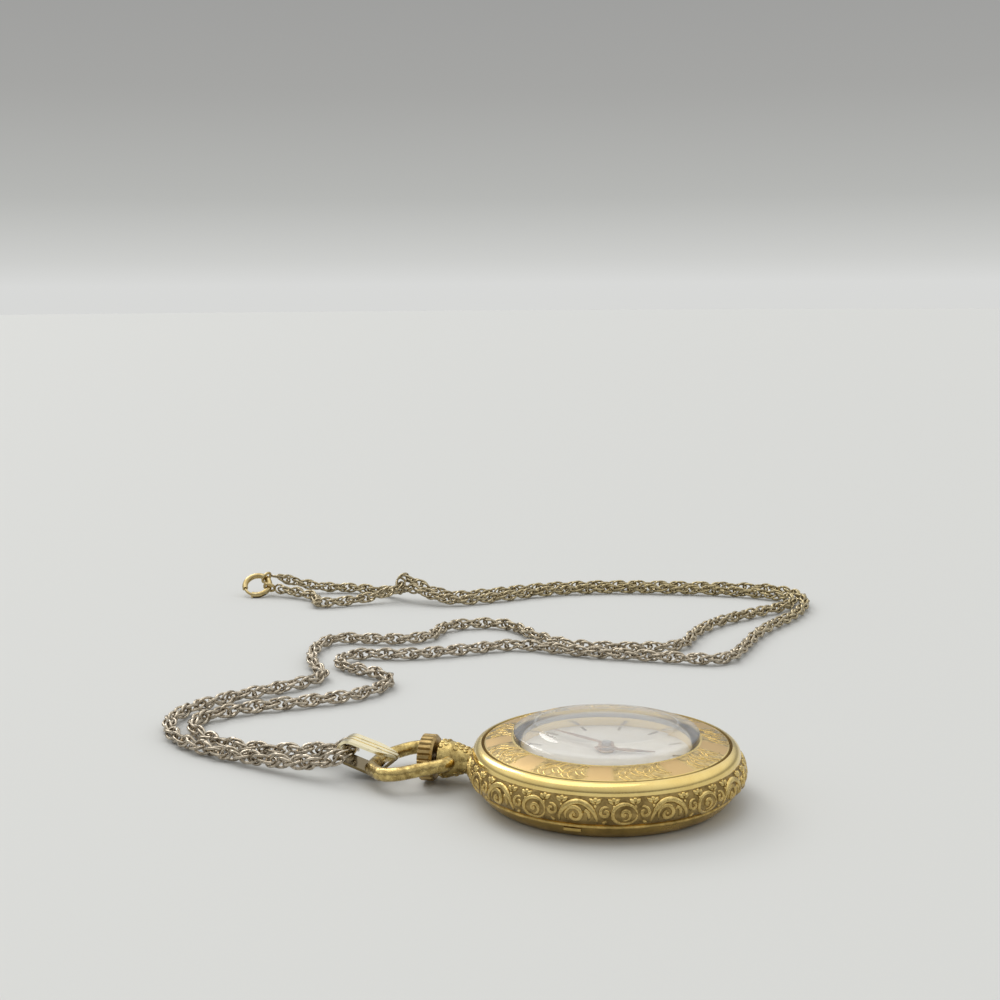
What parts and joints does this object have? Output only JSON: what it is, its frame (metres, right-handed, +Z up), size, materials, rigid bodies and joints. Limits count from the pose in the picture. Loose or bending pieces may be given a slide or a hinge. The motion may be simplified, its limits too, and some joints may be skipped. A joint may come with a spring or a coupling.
{
  "type": "pendant watch",
  "caption": "Round gilt pendant watch with a domed crystal, ornamented case, fluted crown and stirrup bow, on a folded bail and a long fine neck chain with a spring-ring clasp.",
  "frame": {"origin": "centre of the flat outer face of the case back, on which the watch lies", "axes": "+Z up out of the dial, +Y out along the winding stem past twelve o'clock, +X to the right of the dial when it is read"},
  "size_m": [0.1279, 0.0997, 0.0084],
  "materials": {
    "gold_plate": "warm yellow gold plate, worn satin to polished",
    "bezel_gold": "engraved gold plate with a polished slope",
    "crown_gold": "worn brown-gold plate",
    "bail_gold": "pale polished gold, ribbed",
    "chain_metal": "tarnished silver-gold plate",
    "clasp_gold": "polished gold-filled wire",
    "crystal_acrylic": "clear thick acrylic",
    "dial_paint": "cream silver satin",
    "markers_dark": "dark enamelled batons",
    "hands_metal": "copper-gold",
    "plate_brass": "nickel-washed brass, fine grained",
    "wheel_brass": "gilt brass",
    "steel": "bright steel",
    "blued_steel": "blued spring steel",
    "ruby": "pink-red synthetic ruby",
    "spacer_nylon": "plain moulded spacer"
  },
  "bodies": {
    "case": {"case_band": "gold_plate", "case_back": "gold_plate", "bezel": "bezel_gold", "crystal": "crystal_acrylic", "pendant_neck": "gold_plate", "dial": "dial_paint", "dial_markers": "markers_dark", "movement_ring": "spacer_nylon", "case_clamps": "steel", "case_clamp_screws": "steel", "main_plate": "plate_brass", "plate_jewels": "ruby", "barrel_bridge": "plate_brass", "train_bridge": "plate_brass", "bridge_jewels": "ruby", "balance_cock": "plate_brass", "cock_jewel": "ruby", "bridge_screws": "steel", "pallet_bridge": "plate_brass", "hairspring": "blued_steel", "hairspring_stud": "steel", "regulator": "steel", "crown_wheel_collar": "steel", "click_screw": "steel", "click_spring": "blued_steel", "dial_washer": "wheel_brass"},
    "bow": {"bow": "gold_plate"},
    "bail_and_chain": {"bail": "bail_gold", "chain_strand_a": "chain_metal", "chain_strand_b": "chain_metal", "spring_ring": "clasp_gold", "clasp_jump_ring": "clasp_gold", "end_jump_ring": "clasp_gold"},
    "gate": {"spring_ring_gate": "clasp_gold"},
    "winding_pinion": {"winding_pinion": "steel"},
    "crown_and_stem": {"crown": "crown_gold", "stem": "steel"},
    "clutch": {"clutch_wheel": "steel"},
    "crown_wheel": {"crown_wheel": "steel"},
    "ratchet": {"ratchet_wheel": "steel", "barrel_arbor": "steel"},
    "barrel": {"barrel_drum": "wheel_brass", "barrel_cover": "wheel_brass", "mainspring": "blued_steel"},
    "centre": {"centre_wheel": "wheel_brass"},
    "third": {"third_wheel": "wheel_brass"},
    "fourth": {"fourth_wheel": "wheel_brass"},
    "escape": {"escape_wheel": "steel"},
    "fork": {"pallet_fork": "steel"},
    "balance": {"balance_wheel": "wheel_brass", "balance_staff": "steel"},
    "click": {"click": "steel"},
    "setting_lever": {"setting_lever": "steel"},
    "yoke": {"yoke": "steel"},
    "minute": {"cannon_pinion": "steel", "minute_hand": "hands_metal"},
    "hour": {"hour_wheel": "wheel_brass", "hour_hand": "hands_metal"},
    "minute_wheel": {"minute_wheel": "wheel_brass"},
    "setting_wheel": {"setting_wheel": "steel"}
  },
  "joints": [
    {"name": "bow_swing", "type": "hinge", "parent": "case", "child": "bow", "pos_m": [0, 0.0173, 0.003], "axis": [1, 0, 0], "range_deg": [0, 75]},
    {"name": "bail_swing", "type": "hinge", "parent": "bow", "child": "bail_and_chain", "pos_m": [0, 0.0264, 0.0017], "axis": [1, 0, 0], "range_deg": [-75, 0]},
    {"name": "gate_slide", "type": "hinge", "parent": "bail_and_chain", "child": "gate", "pos_m": [0.0895, 0.081, 0.00191], "axis": [-0.6209, -0.1664, 0.766], "range_deg": [0, 45], "stiffness_Nm_per_rad": 0.00001},
    {"name": "crown_turn", "type": "hinge", "parent": "case", "child": "winding_pinion", "pos_m": [0, 0.0072, 0.0028], "axis": [0, 1, 0], "continuous": true},
    {"name": "crown_pull", "type": "slide", "parent": "winding_pinion", "child": "crown_and_stem", "axis": [0, 1, 0], "range_m": [0, 0.0007]},
    {"name": "clutch_slide", "type": "slide", "parent": "winding_pinion", "child": "clutch", "axis": [0, 1, 0], "range_m": [-0.00045, 0]},
    {"name": "setting_lever_swing", "type": "hinge", "parent": "case", "child": "setting_lever", "pos_m": [0.00275, 0.00825, 0.004], "axis": [0, 0, 1], "range_deg": [-17, 0]},
    {"name": "yoke_swing", "type": "hinge", "parent": "case", "child": "yoke", "pos_m": [-0.0029, 0.0074, 0.004], "axis": [0, 0, 1], "range_deg": [-10, 0]},
    {"name": "crown_wheel_turn", "type": "hinge", "parent": "case", "child": "crown_wheel", "pos_m": [0, 0.00534, 0.001], "axis": [0, 0, 1], "continuous": true},
    {"name": "ratchet_turn", "type": "hinge", "parent": "case", "child": "ratchet", "pos_m": [0.00455, 0.0008, 0.001], "axis": [0, 0, 1], "continuous": true},
    {"name": "fourth_turn", "type": "hinge", "parent": "case", "child": "fourth", "pos_m": [-0.00411, -0.00313, 0.0029], "axis": [0, 0, 1], "continuous": true},
    {"name": "third_turn", "type": "hinge", "parent": "case", "child": "third", "pos_m": [-0.00123, -0.00338, 0.0021], "axis": [0, 0, 1], "continuous": true},
    {"name": "centre_turn", "type": "hinge", "parent": "case", "child": "centre", "pos_m": [0, 0, 0.0032], "axis": [0, 0, 1], "continuous": true},
    {"name": "barrel_turn", "type": "hinge", "parent": "case", "child": "barrel", "pos_m": [0.00455, 0.0008, 0.00278], "axis": [0, 0, 1], "continuous": true},
    {"name": "escape_turn", "type": "hinge", "parent": "case", "child": "escape", "pos_m": [-0.00546, -0.0008, 0.0025], "axis": [0, 0, 1], "continuous": true},
    {"name": "fork_rock", "type": "hinge", "parent": "case", "child": "fork", "pos_m": [-0.00507, 0.00116, 0.0025], "axis": [0, 0, 1], "range_deg": [-4, 4]},
    {"name": "balance_swing", "type": "hinge", "parent": "case", "child": "balance", "pos_m": [-0.0046, 0.0035, 0.0019], "axis": [0, 0, 1], "range_deg": [-135, 135], "stiffness_Nm_per_rad": 0.000000035},
    {"name": "click_lift", "type": "hinge", "parent": "case", "child": "click", "pos_m": [0.00735, -0.00405, 0.001], "axis": [0, 0, 1], "range_deg": [0, 12], "stiffness_Nm_per_rad": 0.00001},
    {"name": "minute_turn", "type": "hinge", "parent": "case", "child": "minute", "pos_m": [0, 0, 0.00568], "axis": [0, 0, 1], "continuous": true},
    {"name": "hour_turn", "type": "hinge", "parent": "case", "child": "hour", "pos_m": [0, 0, 0.00536], "axis": [0, 0, 1], "continuous": true},
    {"name": "minute_wheel_turn", "type": "hinge", "parent": "case", "child": "minute_wheel", "pos_m": [-0.00246, 0.00149, 0.004], "axis": [0, 0, 1], "continuous": true},
    {"name": "setting_wheel_turn", "type": "hinge", "parent": "case", "child": "setting_wheel", "pos_m": [0, 0.0036, 0.004], "axis": [0, 0, 1], "continuous": true}
  ],
  "couplings": [
    {"joint": "bail_swing", "follows": "bow_swing", "ratio": -1},
    {"joint": "clutch_slide", "follows": "crown_pull", "ratio": -0.64286},
    {"joint": "setting_lever_swing", "follows": "crown_pull", "rad_per_m": -375.05},
    {"joint": "yoke_swing", "follows": "crown_pull", "rad_per_m": -248.09},
    {"joint": "crown_wheel_turn", "follows": "crown_turn", "ratio": 0.7},
    {"joint": "ratchet_turn", "follows": "crown_turn", "ratio": -0.35},
    {"joint": "escape_turn", "follows": "fourth_turn", "ratio": -10},
    {"joint": "third_turn", "follows": "fourth_turn", "ratio": -0.13333},
    {"joint": "centre_turn", "follows": "fourth_turn", "ratio": 0.016667},
    {"joint": "barrel_turn", "follows": "fourth_turn", "ratio": -0.0027778},
    {"joint": "hour_turn", "follows": "minute_turn", "ratio": 0.083333},
    {"joint": "minute_wheel_turn", "follows": "minute_turn", "ratio": -0.33333},
    {"joint": "setting_wheel_turn", "follows": "minute_turn", "ratio": 0.66667}
  ]
}
